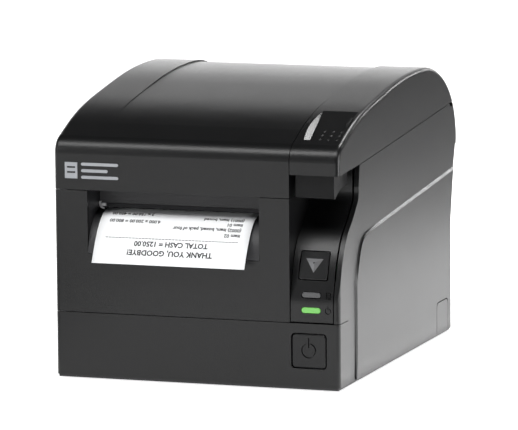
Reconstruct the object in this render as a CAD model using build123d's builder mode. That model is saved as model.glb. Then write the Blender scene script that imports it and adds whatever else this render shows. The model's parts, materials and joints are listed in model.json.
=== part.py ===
from build123d import *
import math
import os

# Front-exit thermal receipt printer, millimetres.
# Frame: X to the viewer's right, Y to the rear, Z up, origin at the middle of the footprint.
# Side outlines are drawn as (depth behind the front face, height above the table).

# ---------------------------------------------------------------- driving dimensions
WIDTH = 148.0                  # over the side walls
BODY_DEPTH = 187.0             # front face to rear face at the table
REAR_BULGE = 197.3             # front face to the furthest point of the rear
PAPER_REACH = 7.5              # how far the printed slip hangs in front of the front face
FRONT = -(REAR_BULGE - PAPER_REACH) / 2
HALF = WIDTH / 2
WALL = 2.4                     # moulded wall thickness
SEAM = 0.35                    # gap between two mouldings
EDGE_ROUND = 2.3               # outer edge rounding
PANEL_BOTTOM = 2.0
LOWER_SEAM = 33.9              # lower front panel to front cover
LID_FRONT = 94.9               # lower edge of the lid's front
STRIP_FRONT = 106.5            # lower edge of the grip strip's front
ROLL_START = 112.7             # where the lid's front starts to round over
ROLL_RADIUS = 9.0
ROLL_TILT = 22.0               # slope of the lid top behind the front rounding, degrees

PAPER_WIDTH = 79.5
PAPER_MID = -12.0              # the paper path lies left of the middle
PAPER_THICK = 0.2
PAPER_TOP = 84.1               # top of the paper where it lies flat
SLOT_LEFT = -56.5
SLOT_RIGHT = 33.0
SLOT_DEPTH = 16.0
CHUTE_RADIUS = 20.0

COLUMN_LEFT = 48.5             # control column between the front cover and the right cheek
COLUMN_RIGHT = 71.2
STRIP_LEFT = 48.7

PLATEN_RADIUS = 7.0
PLATEN_DEPTH = 42.0
PLATEN_HEIGHT = PAPER_TOP - PAPER_THICK - 0.3 - PLATEN_RADIUS
SHAFT_RADIUS = 2.5
RUNNING_FIT = 0.05
ROLL_OF_PAPER_RADIUS = 38.5
ROLL_OF_PAPER_DEPTH = 118.0
ROLL_OF_PAPER_HEIGHT = 84.0
CORE_RADIUS = 8.5
BUCKET_RADIUS = 41.0
WEB_BEND_DEPTH = 50.0          # where the web turns up towards the roll

HINGE_DEPTH = 187.5
HINGE_HEIGHT = 121.5
HINGE_RADIUS = 1.2
LEVER_PIVOT_DEPTH = 29.0
LEVER_PIVOT_HEIGHT = 110.0
LEVER_PIN_RADIUS = 1.2

GEAR_MODULE = 0.8
PLATEN_TEETH = 24
IDLER_TEETH = 32
MOTOR_TEETH = 16
GEAR_FACE = 4.0
GEAR_PLANE = 34.6              # left face of the gear train
IDLER_DIRECTION = -50.0        # from the platen to the idler, degrees
MOTOR_DIRECTION = -20.0        # from the idler to the motor

BLADE_DEPTH = 28.1
BLADE_THICK = 0.8
BLADE_TOP = 82.6
CUTTER_MODULE = 0.8
CUTTER_TEETH = 16
CUTTER_PINION_HEIGHT = 70.0
BLADE_LEFT = -54.5

BOARD_HEIGHT = 14.0
BAY_DEPTH = 158.0              # front wall of the cable bay
BAY_TOP = 47.0

os.makedirs("parts", exist_ok=True)


def side_plane(x=0.0):
    """Plane across the printer: local x is depth, local y is height, normal to the right."""
    return Plane(origin=(x, FRONT, 0), x_dir=(0, 1, 0), z_dir=(1, 0, 0))


def front_plane(depth=0.0):
    """Plane parallel to the front face: local x is X, local y is height, normal to the viewer."""
    return Plane(origin=(0, FRONT + depth, 0), x_dir=(1, 0, 0), z_dir=(0, -1, 0))


def level_plane(height):
    """Horizontal plane: local x is X, local y is depth."""
    return Plane(origin=(0, FRONT, height))


def save(part, label):
    """Label a finished piece and write it."""
    part.label = label
    export_step(part, f"parts/{label}.step")


def block(left, right, near, far, low, high, mode=Mode.ADD):
    """A block between two X values, two depths and two heights."""
    with BuildSketch(level_plane(low)) as base:
        with Locations(((left + right) / 2, (near + far) / 2)):
            Rectangle(right - left, far - near)
    extrude(base.sketch, amount=high - low, mode=mode)


def slab(outline, left, thick, mode=Mode.ADD):
    """A plate across the printer from a side outline, starting at one X value."""
    with BuildSketch(side_plane(left)) as profile:
        with BuildLine():
            Polyline(*outline, close=True)
        make_face()
    extrude(profile.sketch, amount=thick, mode=mode)


def rod(depth, height, radius, left, length, mode=Mode.ADD):
    """A cylinder across the printer, starting at one X value."""
    with BuildSketch(side_plane(left)) as disc:
        with Locations((depth, height)):
            Circle(radius)
    extrude(disc.sketch, amount=length, mode=mode)


def stud(x, depth, radius, low, high, mode=Mode.ADD):
    """An upright cylinder."""
    with BuildSketch(level_plane(low)) as disc:
        with Locations((x, depth)):
            Circle(radius)
    extrude(disc.sketch, amount=high - low, mode=mode)


# ---------------------------------------------------------------- shared outer form
roll_end = (
    ROLL_RADIUS * (1 - math.sin(math.radians(ROLL_TILT))),
    ROLL_START + ROLL_RADIUS * math.cos(math.radians(ROLL_TILT)),
)
LID_TOP = [(18.2, 126.2), (34, 131.3), (66, 137.3), (99, 141.9), (133, 143.5), (150, 142.5),
           (164, 139.2), (180, 131.2)]
LID_END = (190.6, 121.0)
REAR = [(193.9, 115.2), (196.5, 107.5), (REAR_BULGE, 100.5), (195.6, 93.5), (190.8, 77), (187.8, 62)]
REAR_FOOT = (BODY_DEPTH, 52)


start_slope = (math.cos(math.radians(ROLL_TILT)), math.sin(math.radians(ROLL_TILT)))
INNER_STEPS = 16               # points along the inner face of the crown


def body_outline():
    """Side outline of the closed printer, drawn in the open BuildLine."""
    Line((0, PANEL_BOTTOM), (0, ROLL_START))
    TangentArc((0, ROLL_START), roll_end, tangent=(0, 1))
    crown = Spline(roll_end, *LID_TOP, LID_END, *REAR, REAR_FOOT, tangents=[start_slope, (0, -1)])
    Polyline(REAR_FOOT, (BODY_DEPTH, PANEL_BOTTOM), (0, PANEL_BOTTOM))
    return crown


def below(curve, share):
    """A point one wall thickness inside a curve that runs from front to rear."""
    point = curve @ share
    slope = curve % share
    return point.X + WALL * slope.Y, point.Y - WALL * slope.X


def inner_outline():
    """The same outline one wall thickness further in."""
    with BuildLine(mode=Mode.PRIVATE):
        crown = body_outline()
    inner_radius = ROLL_RADIUS - WALL
    inner_roll_end = (ROLL_RADIUS - inner_radius * start_slope[1],
                      ROLL_START + inner_radius * start_slope[0])
    inner_points = [below(crown, step / INNER_STEPS) for step in range(1, INNER_STEPS)]
    inner_foot = (BODY_DEPTH - WALL, REAR_FOOT[1])
    Line((WALL, PANEL_BOTTOM - 1), (WALL, ROLL_START))
    TangentArc((WALL, ROLL_START), inner_roll_end, tangent=(0, 1))
    Spline(inner_roll_end, *inner_points, inner_foot, tangents=[start_slope, (0, -1)])
    Polyline(inner_foot, (inner_foot[0], PANEL_BOTTOM - 1), (WALL, PANEL_BOTTOM - 1))


with BuildPart() as outer_form:
    with BuildSketch(side_plane()):
        with BuildLine():
            body_outline()
        make_face()
    extrude(amount=HALF, both=True)
    side_edges = outer_form.faces().filter_by(Axis.X).edges()
    fillet(side_edges.filter_by(lambda edge: edge.center().Z > PANEL_BOTTOM + 1), radius=EDGE_ROUND)

with BuildPart() as inner_form:
    with BuildSketch(side_plane()):
        with BuildLine():
            inner_outline()
        make_face()
    extrude(amount=HALF - WALL, both=True)

shell = outer_form.part - inner_form.part

# ---------------------------------------------------------------- seams, as side outlines
LID_SEAM = [(33, 108.2), (98.8, 113.2), (200, 121.25)]
PANEL_SEAM_LOW = (14.2, LOWER_SEAM)
PANEL_SEAM = [(14.8, 46.5), (18.6, 63.9), (31.6, 78.8), (54.1, 86.8)]
PANEL_SEAM_END = (202, 98.2)


def lid_seam_line(drop=0.0):
    """The seam between lid and body along the sides, from the front corner to the rear."""
    ThreePointArc(*[(depth, height - drop) for depth, height in LID_SEAM])


def panel_seam_line(shift=0.0):
    """The seam between the upper housing and the side panels, low front to high rear."""
    low = (PANEL_SEAM_LOW[0] + shift, PANEL_SEAM_LOW[1])
    bend = [(depth + shift, height - shift) for depth, height in PANEL_SEAM]
    end = (PANEL_SEAM_END[0], PANEL_SEAM_END[1] - shift)
    Spline(low, *bend, tangents=[(0, 1), (0.995, 0.1)])
    Line(bend[-1], end)
    return low, end


LEVER_WINDOW_REAR = 32.0       # the cheek stands this far back beside the lever
COLUMN_FACE = [(0.6, 43), (2.2, 51), (4.8, 60), (9.6, 70), (16, 77.3), (22.6, 82.2),
               (28.6, 87.8), (LEVER_WINDOW_REAR, 94.5)]
CHEEK_FACE = [(0, 43), (1.4, 51), (4.0, 60), (8.8, 70), (15.2, 77.5), (21.9, 82.5),
              (27.8, 88.0), (31.4, 94.5)]


def cut_in_front(face_points, left, right, top):
    """Take away everything in front of a curved face between two X values."""
    with BuildSketch(side_plane(left)) as opening:
        with BuildLine():
            Spline(*face_points, tangents=[(0, 1), (0.05, 1)])
            Polyline(face_points[-1], (face_points[-1][0], top), (-9, top),
                     (-9, face_points[0][1]), face_points[0])
        make_face()
    extrude(opening.sketch, amount=right - left, mode=Mode.SUBTRACT)


# ---------------------------------------------------------------- lid mouldings
CENTRE_LEFT = -50.0            # the lid's middle sinks below the side strips towards the rear
CENTRE_SINK = 1.1
SINK_START = 20.0


def sunk(point):
    """A point of the lid's top line, lowered by the growing step of the middle panel."""
    depth, height = point
    return depth, height - CENTRE_SINK * (depth - SINK_START) / (LID_END[0] - SINK_START)


def keep_lid_zone():
    """Keep only what lies above the lid seam."""
    with BuildSketch(side_plane()) as zone:
        with BuildLine():
            lid_seam_line()
            Polyline(LID_SEAM[-1], (200, 160), (-9, 160), (-9, LID_FRONT),
                     (LEVER_WINDOW_REAR - 1, LID_FRONT), LID_SEAM[0])
        make_face()
    extrude(zone.sketch, amount=WIDTH, both=True, mode=Mode.INTERSECT)


def hinge_disc(radius, left, width, mode):
    """A disc about the lid's hinge line."""
    rod(HINGE_DEPTH, HINGE_HEIGHT, radius, left, width, mode)


LUG_X = [-56.0, -45.6, 41.6, 52.0]           # left faces of the lid's hinge lugs
LUG_WIDTH = 4.0
EAR_X = [-51.4, 46.2]                        # left faces of the housing's hinge ears
EAR_WIDTH = 5.2
KNUCKLE = 3.4

with BuildPart() as lid_cover:
    add(shell)
    keep_lid_zone()
    with BuildSketch(level_plane(LID_FRONT - 5)):
        with Locations((STRIP_LEFT - SEAM / 2 - WIDTH, -9)):
            Rectangle(WIDTH, 300, align=(Align.MIN, Align.MIN))
    extrude(amount=80, mode=Mode.INTERSECT)
    with BuildSketch(side_plane(CENTRE_LEFT)):
        with BuildLine():
            sunk_top = [sunk(point) for point in LID_TOP[1:]]
            Spline(LID_TOP[0], *sunk_top, sunk(LID_END))
            Polyline(sunk(LID_END), (205, 121), (205, 160), (18.2, 160), LID_TOP[0])
        make_face()
    extrude(amount=STRIP_LEFT - CENTRE_LEFT, mode=Mode.SUBTRACT)
    for lug_left in LUG_X[:3]:
        hinge_disc(KNUCKLE, lug_left, LUG_WIDTH, Mode.ADD)
    for ear_left in EAR_X:
        hinge_disc(KNUCKLE + 1.2, ear_left - 1.0, EAR_WIDTH + 2.0, Mode.SUBTRACT)
    hinge_disc(HINGE_RADIUS + RUNNING_FIT, -HALF + WALL, WIDTH - 2 * WALL, Mode.SUBTRACT)
    slab([(1, LID_FRONT), (1, 114), (28, 127), (28, 104),
          (20, LID_FRONT)], STRIP_LEFT - SEAM / 2 - 1.5, 1.5)
save(lid_cover.part, "lid_cover")

SCOOP_FRONT = 9.5
SCOOP_REAR = 41.0
SCOOP_FLOOR_FRONT = 121.2
SCOOP_FLOOR_REAR = 133.0
SCOOP_LEFT = 52.0
SCOOP_SLOPE = 3.6
SCOOP_RIGHT = 71.0
PIVOT_RIBS = [(49.3, 1.3), (69.7, 1.3)]      # left face and thickness of the lever's two ribs

DOT_RISE = 0.35                # how far each grip dot stands up, and the radius of its dome
DOT_ROUND = 0.98
DOT_COLUMNS = 4.4
DOT_ROWS = 4.1
DOTS_X = 64.6
DOTS_DEPTH = 16.9
floor_rise = (SCOOP_FLOOR_REAR - SCOOP_FLOOR_FRONT) / (SCOOP_REAR - SCOOP_FRONT)
DOTS_HEIGHT = SCOOP_FLOOR_FRONT + (DOTS_DEPTH - SCOOP_FRONT) * floor_rise
scoop_floor = Plane(origin=(DOTS_X, FRONT + DOTS_DEPTH, DOTS_HEIGHT), x_dir=(1, 0, 0),
                    z_dir=(0, -floor_rise, 1))

with BuildPart() as lid_grip_strip:
    add(shell)
    with BuildSketch(side_plane(STRIP_LEFT + SEAM / 2)):
        with BuildLine():
            lid_seam_line()
            Polyline(LID_SEAM[-1], (200, 160), (-9, 160), (-9, STRIP_FRONT), (2.5, STRIP_FRONT),
                     LID_SEAM[0])
        make_face()
    extrude(amount=40, mode=Mode.INTERSECT)
    with BuildSketch(front_plane(SCOOP_FRONT)):
        with BuildLine():
            Polyline((SCOOP_LEFT - 0.9, SCOOP_FLOOR_FRONT + 2.6),
                     (SCOOP_LEFT + SCOOP_SLOPE, SCOOP_FLOOR_FRONT),
                     (SCOOP_RIGHT, SCOOP_FLOOR_FRONT), (SCOOP_RIGHT, 140), (SCOOP_LEFT - 0.9,
                      140), close=True)
        make_face()
    with BuildSketch(front_plane(SCOOP_REAR)):
        with BuildLine():
            Polyline((SCOOP_LEFT + 0.4, SCOOP_FLOOR_REAR + 0.6), (SCOOP_LEFT + 0.9, SCOOP_FLOOR_REAR),
                     (SCOOP_RIGHT, SCOOP_FLOOR_REAR), (SCOOP_RIGHT, 140), (SCOOP_LEFT + 0.4,
                      140), close=True)
        make_face()
    loft(ruled=True, mode=Mode.SUBTRACT)
    for rib_left, rib_thick in PIVOT_RIBS:
        with BuildSketch(side_plane(rib_left)):
            with BuildLine():
                Polyline((25.5, 129.2), (25.5, 108), (27, 106.8), (31, 106.8), (32.5, 108),
                         (32.5, 131.2), close=True)
            make_face()
        extrude(amount=rib_thick)
    with BuildSketch(side_plane(STRIP_LEFT + SEAM / 2)):
        with Locations((LEVER_PIVOT_DEPTH, LEVER_PIVOT_HEIGHT)):
            Circle(LEVER_PIN_RADIUS)
    extrude(amount=PIVOT_RIBS[1][0] + PIVOT_RIBS[1][1] - STRIP_LEFT - SEAM / 2, mode=Mode.SUBTRACT)
    hinge_disc(KNUCKLE, LUG_X[3], LUG_WIDTH, Mode.ADD)
    hinge_disc(HINGE_RADIUS + RUNNING_FIT, STRIP_LEFT, LUG_X[3] + LUG_WIDTH - STRIP_LEFT, Mode.SUBTRACT)
    hinge_disc(KNUCKLE + 1.2, EAR_X[1] - 1.0, EAR_WIDTH + 1.6, Mode.SUBTRACT)
    with Locations(scoop_floor.offset(DOT_RISE - DOT_ROUND)):
        with GridLocations(DOT_COLUMNS, DOT_ROWS, 3, 3):
            Sphere(DOT_ROUND)
save(lid_grip_strip.part, "lid_grip_strip")

# ---------------------------------------------------------------- badge on the lid's front
BADGE_LEFT = -68.0
BADGE_LOW = 100.5
BADGE_HEIGHT = 8.0
SLIP_WIDTH = 6.6
BAR_HEIGHT = 1.5

with BuildPart() as front_badge:
    with BuildSketch(front_plane()):
        with Locations((BADGE_LEFT + SLIP_WIDTH / 2, BADGE_LOW + BADGE_HEIGHT / 2)):
            Rectangle(SLIP_WIDTH, BADGE_HEIGHT)
            with Locations((0, 1.6), (0, -0.9)):
                Rectangle(SLIP_WIDTH - 2.2, 0.9, mode=Mode.SUBTRACT)
        for row, length in enumerate((19.5, 14.0, 19.5)):
            with Locations((BADGE_LEFT + SLIP_WIDTH + 2.0 + length / 2, BADGE_LOW + BAR_HEIGHT / 2 + row * 3.25)):
                SlotOverall(length, BAR_HEIGHT)
    extrude(amount=0.4)
save(front_badge.part, "front_badge")

# ---------------------------------------------------------------- inside the lid
FRAME_LOW = 103.0
FRAME_LEFT = -57.5
FRAME_RIGHT = 45.5
HEAD_LEFT = -52.0
HEAD_RIGHT = 28.0
HEAD_NEAR = 36.5
HEAD_FAR = 47.0

with BuildPart() as lid_inner_frame:
    block(FRAME_LEFT, FRAME_RIGHT, SLOT_DEPTH + 1.6, 62, FRAME_LOW, FRAME_LOW + 2)
    block(SLOT_LEFT + 0.4, SLOT_RIGHT - 0.4, SLOT_DEPTH, SLOT_DEPTH + 1.6, PAPER_TOP + 0.4,
          FRAME_LOW + 2)
    block(FRAME_LEFT, FRAME_LEFT + 1.6, 24, 60, 93, FRAME_LOW)
    block(FRAME_RIGHT - 1.6, FRAME_RIGHT, 24, 60, 93, FRAME_LOW)
    for post_x in (-50, -10, 30):
        for post_depth in (23, 56):
            stud(post_x, post_depth, 3, FRAME_LOW + 2, 145)
    add(inner_form.part, mode=Mode.INTERSECT)
save(lid_inner_frame.part, "lid_inner_frame")

TOOTH_PITCH = 1.75
TOOTH_COUNT = 46
with BuildPart() as tear_bar:
    block(-55.6, SLOT_RIGHT - 0.8, SLOT_DEPTH - 0.6, SLOT_DEPTH, PAPER_TOP + 0.9, 86.4)
    with BuildSketch(front_plane(SLOT_DEPTH)) as teeth:
        for tooth in range(TOOTH_COUNT):
            with BuildLine():
                tooth_left = -51.0 + tooth * TOOTH_PITCH
                Polyline((tooth_left, PAPER_TOP + 1.0),
                         (tooth_left + TOOTH_PITCH / 2, PAPER_TOP + 0.35),
                         (tooth_left + TOOTH_PITCH, PAPER_TOP + 1.0), close=True)
            make_face()
    extrude(teeth.sketch, amount=0.6)
    with BuildSketch(front_plane(SLOT_DEPTH)) as end_hook:
        with BuildLine():
            hook_outer = ThreePointArc((-56.0, 87.3), (-55.5, 84.3), (-53.4, 83.5))
            Line(hook_outer @ 1, (-53.3, 84.1))
            ThreePointArc((-53.3, 84.1), (-54.8, 84.9), (-54.8, 87.3))
            Line((-54.8, 87.3), (-56.0, 87.3))
        make_face()
    extrude(end_hook.sketch, amount=0.6)
save(tear_bar.part, "tear_bar")

with BuildPart() as fixed_blade:
    block(-54, 30.5, BLADE_DEPTH - 1.3, BLADE_DEPTH - 0.3, PAPER_TOP + 0.4, FRAME_LOW)
save(fixed_blade.part, "fixed_blade")

with BuildPart() as thermal_head:
    block(HEAD_LEFT, HEAD_RIGHT, HEAD_NEAR, HEAD_FAR, PAPER_TOP + 0.6, 86)
    rod(PLATEN_DEPTH, PAPER_TOP + 1.0, 0.7, HEAD_LEFT + 1, HEAD_RIGHT - HEAD_LEFT - 2)
save(thermal_head.part, "thermal_head")

SINK_TOP = 94.0
FIN_COUNT = 16
FIN_PITCH = 5.0
with BuildPart() as head_heat_sink:
    block(HEAD_LEFT, HEAD_RIGHT, HEAD_NEAR, HEAD_FAR, 86, SINK_TOP)
    for fin in range(FIN_COUNT - 1):
        slot_middle = HEAD_LEFT + FIN_PITCH * (fin + 1)
        block(slot_middle - 1, slot_middle + 1, HEAD_NEAR - 1, HEAD_NEAR + 3, 88.5, SINK_TOP + 1,
              Mode.SUBTRACT)
save(head_heat_sink.part, "head_heat_sink")

SPRING_WIRE = 0.45
with BuildPart() as head_springs:
    for spring_x in (-35.0, 11.0):
        with BuildLine() as coil:
            Helix(pitch=1.8, height=FRAME_LOW - SINK_TOP - 1.2, radius=2.6,
                  center=(spring_x, FRONT + 43.4, SINK_TOP + 0.6))
        with BuildSketch(Plane(origin=coil.line @ 0, z_dir=coil.line % 0)) as wire:
            Circle(SPRING_WIRE)
        sweep(wire.sketch, path=coil.line)
save(head_springs.part, "head_springs")

with BuildPart() as hinge_rod:
    rod(HINGE_DEPTH, HINGE_HEIGHT, HINGE_RADIUS, LUG_X[0], LUG_X[3] + LUG_WIDTH - LUG_X[0])
save(hinge_rod.part, "hinge_rod")

# ---------------------------------------------------------------- release lever
LEVER_LEFT = 50.8
LEVER_RIGHT = 70.6
LEVER_FRONT = 3.4
LEVER_NECK = 24.0
with BuildPart() as release_lever:
    with BuildSketch(side_plane(LEVER_LEFT)) as lever_side:
        with BuildLine():
            Polyline((LEVER_FRONT, 95.5), (LEVER_FRONT, 109), (9, 112.6), (LEVER_NECK, 113.2),
                     (LEVER_NECK, 99.6))
            Spline((LEVER_NECK, 99.6), (14, 98.5), (8.2, 96.6), (5.2, 94.9))
            ThreePointArc((5.2, 94.9), (4.0, 94.8), (LEVER_FRONT, 95.5))
        make_face()
    extrude(lever_side.sketch, amount=LEVER_RIGHT - LEVER_LEFT)
    slab([(LEVER_NECK - 1, 106.8), (LEVER_PIVOT_DEPTH, 106.8), (LEVER_PIVOT_DEPTH, 113.2),
          (LEVER_NECK - 1, 113.2)], 51.0, 18.3)
    rod(LEVER_PIVOT_DEPTH, LEVER_PIVOT_HEIGHT, 3.2, 51.0, 18.3)
    rod(LEVER_PIVOT_DEPTH, LEVER_PIVOT_HEIGHT, LEVER_PIN_RADIUS + RUNNING_FIT, 50, 21, Mode.SUBTRACT)
    block(57, 63, 25.2, 34, 104, 115, Mode.SUBTRACT)
save(release_lever.part, "release_lever")

with BuildPart() as lever_pin:
    rod(LEVER_PIVOT_DEPTH, LEVER_PIVOT_HEIGHT, LEVER_PIN_RADIUS, PIVOT_RIBS[0][0],
        PIVOT_RIBS[1][0] + PIVOT_RIBS[1][1] - PIVOT_RIBS[0][0])
save(lever_pin.part, "lever_pin")

with BuildPart() as lever_spring:
    with BuildLine() as spring_coil:
        Helix(pitch=0.9, height=4.2, radius=2.1,
              center=(57.9, FRONT + LEVER_PIVOT_DEPTH, LEVER_PIVOT_HEIGHT),
              direction=(1, 0, 0))
    with BuildSketch(Plane(origin=spring_coil.line @ 0, z_dir=spring_coil.line % 0)) as spring_wire:
        Circle(0.3)
    sweep(spring_wire.sketch, path=spring_coil.line)
save(lever_spring.part, "lever_spring")

# ---------------------------------------------------------------- upper housing
EAR_OUTLINE = [(176, 105), (192.5, 105), (190.8, 120.5), (184.2, 121.5)]
with BuildPart() as upper_housing:
    add(shell)
    with BuildSketch(side_plane()) as housing_zone:
        with BuildLine():
            seam_low, seam_end = panel_seam_line()
            lid_seam_line(SEAM)
            Polyline(seam_end, (205, 110), (205, LID_SEAM[-1][1] - SEAM),
                     (LID_SEAM[-1][0], LID_SEAM[-1][1] - SEAM))
            Polyline((LID_SEAM[0][0], LID_SEAM[0][1] - SEAM), (LEVER_WINDOW_REAR - 1, LID_FRONT - SEAM),
                     (-9, LID_FRONT - SEAM), (-9, LOWER_SEAM), seam_low)
        make_face()
    extrude(housing_zone.sketch, amount=WIDTH, both=True, mode=Mode.INTERSECT)
    block(SLOT_LEFT, SLOT_RIGHT, -1, WALL + 1, LID_FRONT - SEAM - 31.2, LID_FRONT + 3, Mode.SUBTRACT)
    block(COLUMN_LEFT, COLUMN_RIGHT, -1, WALL + 1, LOWER_SEAM - 1, LID_FRONT + 3, Mode.SUBTRACT)
    cut_in_front(CHEEK_FACE, COLUMN_RIGHT - 1, HALF + 2, 125)
    slab([(1.5, 42), (1.5, LID_FRONT - SEAM), (30, LID_FRONT - SEAM), (30, 84), (12, 66), (6, 42)],
         COLUMN_LEFT - 1.6, 1.6)
    slab([(166, 103.5), (196, 103.5), (196, 105.5), (166, 105.5)], -HALF + 1, WIDTH - 2)
    hinge_disc(KNUCKLE + 0.5, -HALF - 1, WIDTH + 2, Mode.SUBTRACT)
    for ear_left in EAR_X:
        slab(EAR_OUTLINE, ear_left, EAR_WIDTH)
        hinge_disc(KNUCKLE, ear_left, EAR_WIDTH, Mode.ADD)
    hinge_disc(HINGE_RADIUS, -60, 120, Mode.SUBTRACT)
save(upper_housing.part, "upper_housing")

CHUTE_TOP = LID_FRONT - SEAM - 31.2 + CHUTE_RADIUS
with BuildPart() as paper_chute:
    with BuildSketch(side_plane(SLOT_LEFT + 0.15)) as chute_side:
        with BuildLine():
            ramp_low = CHUTE_TOP - CHUTE_RADIUS + 0.2
            CenterArc((CHUTE_RADIUS, ramp_low), CHUTE_RADIUS, 90, 90)
            Polyline((0, ramp_low), (2, ramp_low), (2, ramp_low + 0.01))
            CenterArc((CHUTE_RADIUS, ramp_low + 0.01), CHUTE_RADIUS - 2, 90, 90)
            Polyline((CHUTE_RADIUS, ramp_low + 0.01 + CHUTE_RADIUS - 2),
                     (23, ramp_low + CHUTE_RADIUS - 1.99),
                     (23, ramp_low + CHUTE_RADIUS), (CHUTE_RADIUS, ramp_low + CHUTE_RADIUS))
        make_face()
    extrude(chute_side.sketch, amount=SLOT_RIGHT - SLOT_LEFT - 0.3)
    for wall_left in (SLOT_LEFT - 1.6, SLOT_RIGHT):
        slab([(WALL, 66), (WALL, LID_FRONT - 0.6), (22.5, LID_FRONT - 0.6), (22.5, 66)],
             wall_left, 1.6)
    for wall_left in (SLOT_LEFT - 0.2, SLOT_RIGHT - 0.3):
        slab([(8, 66), (8, 77), (20, 81), (22.4, 81), (22.4, 66)], wall_left, 0.5)
save(paper_chute.part, "paper_chute")

# ---------------------------------------------------------------- control column
BUTTON_X = 59.55
BUTTON_DEPTH = 5.6
BUTTON_HEIGHT = 61.6
BUTTON_RISE = (0.371, 0.928)   # the column's slope at the button, depth and height
FEED_BUTTON = (14.5, 14.1)
WINDOW_X = 59.2
WINDOW_SIZE = (9.8, 2.8)
STATUS_HEIGHT = 47.5
POWER_HEIGHT = 40.1
ICON_X = 68.0
MARK_DEPTH = 0.9               # the icons are moulded in this deep
BUTTON_GAP = 0.45


def button_plane(lift=0.0):
    """Plane on the column's slope, lifted along its outward normal."""
    origin = (BUTTON_X, FRONT + BUTTON_DEPTH - lift * BUTTON_RISE[1],
              BUTTON_HEIGHT + lift * BUTTON_RISE[0])
    return Plane(origin=origin, x_dir=(1, 0, 0), z_dir=(0, -BUTTON_RISE[1], BUTTON_RISE[0]))


def power_symbol(x, height, radius, stroke):
    """A broken ring with a bar, drawn in the open BuildSketch."""
    with Locations((x, height)):
        Circle(radius)
        Circle(radius - stroke, mode=Mode.SUBTRACT)
        with Locations((0, radius)):
            Rectangle(stroke * 3.2, radius, mode=Mode.SUBTRACT)
            Rectangle(stroke, radius * 1.3)


with BuildPart() as control_column:
    column_left = COLUMN_LEFT + 0.3
    column_width = COLUMN_RIGHT - COLUMN_LEFT - 1.0
    with BuildSketch(side_plane(column_left)) as column_side:
        with BuildLine():
            Spline(*COLUMN_FACE, tangents=[(0, 1), (0.05, 1)])
            back_points = [(depth + 2.0, height - 0.9) for depth, height in COLUMN_FACE[1:-1]]
            Spline((COLUMN_FACE[0][0] + 2.0, COLUMN_FACE[0][1]), *back_points,
                   (COLUMN_FACE[-1][0] + 2.0, COLUMN_FACE[-1][1]), tangents=[(0, 1), (0.05, 1)])
            Polyline(COLUMN_FACE[-1], (COLUMN_FACE[-1][0], 105.5), (COLUMN_FACE[-1][0] + 2.0, 105.5),
                     (COLUMN_FACE[-1][0] + 2.0, COLUMN_FACE[-1][1]))
            Polyline(COLUMN_FACE[0], (COLUMN_FACE[0][0], LOWER_SEAM + SEAM),
                     (COLUMN_FACE[0][0] + 2.0, LOWER_SEAM + SEAM), (COLUMN_FACE[0][0] + 2.0,
                      COLUMN_FACE[0][1]))
        make_face()
    extrude(column_side.sketch, amount=column_width)
    with BuildSketch(button_plane(4)) as button_hole:
        RectangleRounded(FEED_BUTTON[0] + 2 * BUTTON_GAP, FEED_BUTTON[1] + 2 * BUTTON_GAP, 1.2)
    extrude(button_hole.sketch, amount=-9, mode=Mode.SUBTRACT)
    with BuildSketch(front_plane(-2)) as window_holes:
        with Locations((WINDOW_X, STATUS_HEIGHT), (WINDOW_X, POWER_HEIGHT)):
            SlotOverall(WINDOW_SIZE[0] + 0.4, WINDOW_SIZE[1] + 0.4)
    extrude(window_holes.sketch, amount=-9, mode=Mode.SUBTRACT)
    with BuildSketch(front_plane(COLUMN_FACE[0][0] + MARK_DEPTH)) as power_icon:
        power_symbol(ICON_X, POWER_HEIGHT, 1.6, 0.4)
    extrude(power_icon.sketch, amount=3, mode=Mode.SUBTRACT)
    with BuildSketch(front_plane(COLUMN_FACE[0][0] + 2 * MARK_DEPTH)) as slip_icon:
        with Locations((ICON_X, STATUS_HEIGHT)):
            Rectangle(2.4, 3.2)
            Rectangle(1.7, 2.5, mode=Mode.SUBTRACT)
            with Locations((0, 0.4), (0, -0.5)):
                Rectangle(1.1, 0.3)
    extrude(slip_icon.sketch, amount=3, mode=Mode.SUBTRACT)
save(control_column.part, "control_column")

ARROW = [(-4.4, 3.3), (4.4, 3.3), (0, -3.7)]
ARROW_PEAK = 1.1
with BuildPart() as feed_button:
    with BuildSketch(button_plane(0.3)) as cap:
        RectangleRounded(*FEED_BUTTON, 1.0)
    extrude(cap.sketch, amount=-4.3)
    chamfer(feed_button.faces().sort_by(Axis((0, 0, 0), (0, -BUTTON_RISE[1], BUTTON_RISE[0])))[-1].edges(),
            length=0.25)
    with BuildSketch(button_plane(-3.0)) as flange:
        RectangleRounded(FEED_BUTTON[0] + 2.0, FEED_BUTTON[1] + 1.6, 1.0)
    extrude(flange.sketch, amount=-1.2)
    with BuildSketch(button_plane(0.3)) as arrow_foot:
        with BuildLine():
            Polyline(*ARROW, close=True)
        make_face()
    with BuildSketch(button_plane(0.3 + ARROW_PEAK)) as arrow_peak:
        with BuildLine():
            Polyline(*[(x * 0.03, 1.0 + (y - 1.0) * 0.03) for x, y in ARROW], close=True)
        make_face()
    loft([arrow_foot.sketch.face(), arrow_peak.sketch.face()], ruled=True)
save(feed_button.part, "feed_button")

for window_name, window_height, window_depth in (("status_window", STATUS_HEIGHT, 1.25),
                                                 ("power_window", POWER_HEIGHT, 0.5)):
    with BuildPart() as window:
        with BuildSketch(front_plane(window_depth)) as pill:
            with Locations((WINDOW_X, window_height)):
                SlotOverall(*WINDOW_SIZE)
        extrude(pill.sketch, amount=-2.6)
        fillet(window.faces().sort_by(Axis.Y)[0].edges(), radius=0.4)
    save(window.part, window_name)

LIGHT_BOARD_DEPTH = 12.0
with BuildPart() as light_board:
    block(51, 69, LIGHT_BOARD_DEPTH, LIGHT_BOARD_DEPTH + 1.6, 36, 51)
save(light_board.part, "light_board")

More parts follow.
